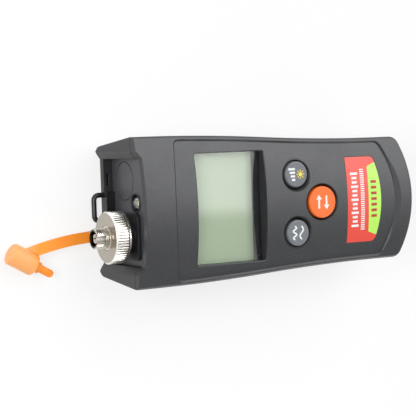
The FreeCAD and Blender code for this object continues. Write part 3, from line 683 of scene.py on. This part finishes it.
def world():
    """Even surroundings with one broad soft patch of light; gloss also sees its bright core."""
    made = bpy.data.worlds.new("studio")
    bpy.context.scene.world = made
    made.use_nodes = True
    tree = made.node_tree
    tree.nodes.clear()
    heading = add(tree, "ShaderNodeTexCoord").outputs["Generated"]
    patch_heading = Vector((0.50, -0.45, 0.74)).normalized()
    nearness = add(tree, "ShaderNodeVectorMath", {0: heading, 1: patch_heading},
                   operation="DOT_PRODUCT").outputs["Value"]

    def patch(edge, full):
        """Nought outside the edge angle from the patch's heading, one within the full angle."""
        return ramp(tree, nearness, math.cos(math.radians(edge)), math.cos(math.radians(full)))

    soft = patch(34.1, 32.9)
    core = patch(46, 14)

    def level(around, soft_gain, core_gain=0.0):
        """How bright the surroundings are for one kind of ray."""
        gain = maths(tree, "MULTIPLY", soft, soft_gain)
        if core_gain:
            gain = maths(tree, "ADD", gain, maths(tree, "MULTIPLY", core, core_gain))
        return maths(tree, "ADD", gain, around)

    path = add(tree, "ShaderNodeLightPath").outputs
    strength = level(0.32, 2.0)
    for ray, seen in (("Is Glossy Ray", level(0.85, 1.5, 2.6)),
                      ("Is Transmission Ray", level(1.0, 1.3)),
                      ("Is Camera Ray", 1.0)):
        strength = add(tree, "ShaderNodeMix", {0: path[ray], 2: strength, 3: seen}).outputs[0]
    light = add(tree, "ShaderNodeBackground", {"Color": (1, 1, 1, 1), "Strength": strength})
    out = add(tree, "ShaderNodeOutputWorld")
    tree.links.new(light.outputs[0], out.inputs["Surface"])


def area(name, spot, target, width, height, power):
    data = bpy.data.lights.new(name, "AREA")
    data.shape = "RECTANGLE"
    data.size = width
    data.size_y = height
    data.energy = power
    made = bpy.data.objects.new(name, data)
    made.location = spot
    heading = Vector(target) - Vector(spot)
    made.rotation_mode = "QUATERNION"
    made.rotation_quaternion = heading.to_track_quat("-Z", "Y")
    bpy.context.scene.collection.objects.link(made)


def camera():
    """Looks down from above the connector end, turned so that +X is up in the frame."""
    spot = Vector((0.03081, 0.28978, 0.49556))
    ahead = Vector((-0.0569, -0.4854, -0.8724)).normalized()
    down = Vector((-0.9978, 0.0585, 0.0325))
    right = down.cross(ahead).normalized()
    up = right.cross(ahead).normalized()
    data = bpy.data.cameras.new("camera")
    data.lens = 121.15
    data.sensor_width = 36.0
    made = bpy.data.objects.new("camera", data)
    made.matrix_world = Matrix((
        (right.x, up.x, -ahead.x, spot.x),
        (right.y, up.y, -ahead.y, spot.y),
        (right.z, up.z, -ahead.z, spot.z),
        (0, 0, 0, 1)))
    bpy.context.scene.collection.objects.link(made)
    bpy.context.scene.camera = made


def build():
    case_grey = (45, 46, 49)
    case = moulded_case("case_plastic", case_grey)
    cover = moulded_case("cover_plastic", case_grey, black_where=key_well_shade_mask)
    # The panel's grey is written lighter than the case's: painted light for the set-back panel,
    # which the lamps reach less.
    panel = moulded_case("panel_plastic", (68, 69, 74), black_where=lamp_cup_mask)
    black = smooth_plastic("black_plastic", (24, 24, 26), 0.32)
    flange = moulded_case("flange_plastic", (36, 36, 39))
    nickel = plated("nickel_plate", (226, 220, 210), 0.14, mouth=True)
    # The nut's nickel is written darker than the insert's, as painted shade for the darker
    # reflection on its front face.
    nut_plate_painted_light = plated("nut_plate_painted_light", (188, 182, 169), 0.2, turned=True)
    steel = plated("steel", (190, 190, 192), 0.28)
    ceramic = smooth_plastic("ceramic", (226, 222, 214), 0.18)
    orange = silicone("orange_silicone", (255, 158, 44))
    grey_key = key_rubber("grey_key", (104, 108, 113))
    orange_key = key_rubber("orange_key", (252, 112, 34))
    switch = smooth_plastic("switch_plastic", (30, 30, 32), 0.4)
    wrap = battery_wrap()
    board = circuit_board()
    white_ink = ink("white_ink", (238, 240, 240))
    yellow_ink = ink("yellow_ink", (244, 224, 70))
    maroon_ink = ink("maroon_ink", (176, 44, 40))
    phosphor = ink("phosphor", (246, 238, 150))
    matt_black = smooth_plastic("frame_plastic", (14, 14, 15), 0.7)
    lens = clear("lamp_lens", (1, 1, 0.92, 1), 1.49, clearness=0.84)
    acrylic = clear("window_acrylic", (1, 1, 1, 1), 1.42, roughness=0.01)
    dress([
        (case, ("rear_case", "battery_door")),
        (cover, ("front_case",)),
        (panel, ("end_panel",)),
        (black, ("lanyard_loop", "lamp_holder", "zebra_strips")),
        (matt_black, ("lcd_frame",)),
        (flange, ("detector_receptacle", "flange_screws")),
        (nickel, ("adapter_insert", "battery_contacts")),
        (nut_plate_painted_light, ("coupling_nut",)),
        (steel, ("photodiode", "case_screws")),
        (ceramic, ("ferrule_sleeve",)),
        (orange, ("dust_plug",)),
        (lens, ("lamp_led",)),
        (acrylic, ("display_window",)),
        (lcd_panel(), ("lcd_glass",)),
        (switch, ("tactile_switches", "unit_key_plunger", "wavelength_key_plunger",
                  "function_key_plunger")),
        (board, ("main_board",)),
        (grey_key, ("unit_key", "wavelength_key")),
        (orange_key, ("function_key",)),
        (wrap, ("battery_left", "battery_right")),
        (label_film(), ("face_label",)),
    ])
    threaded_insert(nickel)
    lamp_inside(steel, phosphor)
    label_marks(white_ink, maroon_ink)
    key_symbols(white_ink, yellow_ink)
    floor()
    world()
    area("end_fill", (0.10, 0.70, 0.62), (0.0, 0.06, 0.02), 0.40, 0.30, 4.2)
    area("side_strip", (-0.75, -0.45, 0.12), (0.0, 0.0, 0.02), 0.50, 0.20, 2.2)
    camera()


bpy.context.scene.view_settings.view_transform = "Standard"
build()
